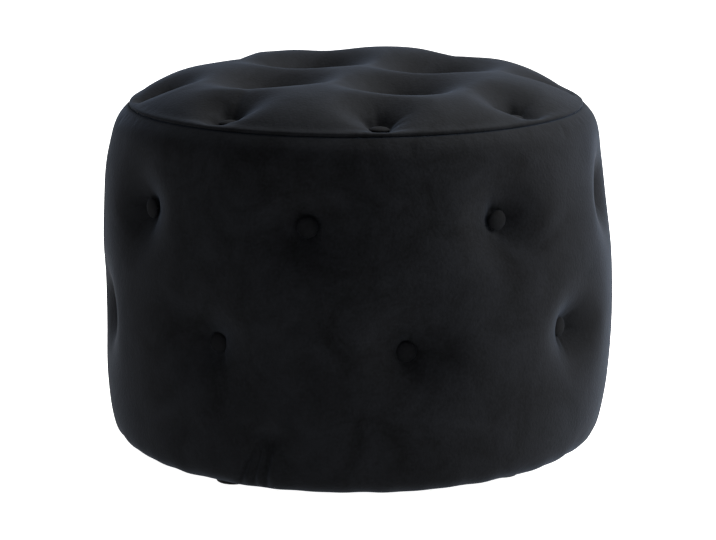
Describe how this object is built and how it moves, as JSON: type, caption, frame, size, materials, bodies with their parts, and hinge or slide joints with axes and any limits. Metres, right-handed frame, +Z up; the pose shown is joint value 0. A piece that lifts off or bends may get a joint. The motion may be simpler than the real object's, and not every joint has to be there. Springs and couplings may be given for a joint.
{
  "type": "pouf",
  "caption": "Round upholstered pouf with a domed, button-tufted velvet cover over a foam-padded wooden drum on low feet.",
  "frame": {"origin": "on the floor under the middle of the pouf, at the undersides of the feet", "axes": "+Z up, -Y towards the viewer of the picture, +X to that viewer's right"},
  "size_m": [0.581, 0.581, 0.4436],
  "materials": {
    "velvet": "matte",
    "foam": "matte",
    "plywood": "matte",
    "softwood": "matte",
    "hardboard": "matte",
    "steel": "satin",
    "twine": "matte",
    "dust_cloth": "matte",
    "foot_plastic": "matte"
  },
  "bodies": {
    "root": {"base_board": "plywood", "button_backs": "steel", "button_lower_1": "velvet", "button_lower_2": "velvet", "button_lower_3": "velvet", "button_lower_4": "velvet", "button_lower_5": "velvet", "button_lower_6": "velvet", "button_lower_7": "velvet", "button_lower_8": "velvet", "button_top_1": "velvet", "button_top_10": "velvet", "button_top_11": "velvet", "button_top_12": "velvet", "button_top_2": "velvet", "button_top_3": "velvet", "button_top_4": "velvet", "button_top_5": "velvet", "button_top_6": "velvet", "button_top_7": "velvet", "button_top_8": "velvet", "button_top_9": "velvet", "button_upper_1": "velvet", "button_upper_2": "velvet", "button_upper_3": "velvet", "button_upper_4": "velvet", "button_upper_5": "velvet", "button_upper_6": "velvet", "button_upper_7": "velvet", "button_upper_8": "velvet", "dust_cover": "dust_cloth", "dust_cover_staples": "steel", "foot_1": "foot_plastic", "foot_2": "foot_plastic", "foot_3": "foot_plastic", "foot_4": "foot_plastic", "foot_screws": "steel", "hem_staples": "steel", "lower_twines": "twine", "post_1": "softwood", "post_2": "softwood", "post_3": "softwood", "post_4": "softwood", "post_screws": "steel", "seat_board": "plywood", "side_cover": "velvet", "side_foam": "foam", "side_wall": "hardboard", "top_cover": "velvet", "top_foam": "foam", "top_twines": "twine", "twine_washers": "steel", "upper_twines": "twine", "wall_brads": "steel", "wall_joint_strip": "hardboard"}
  },
  "joints": []
}
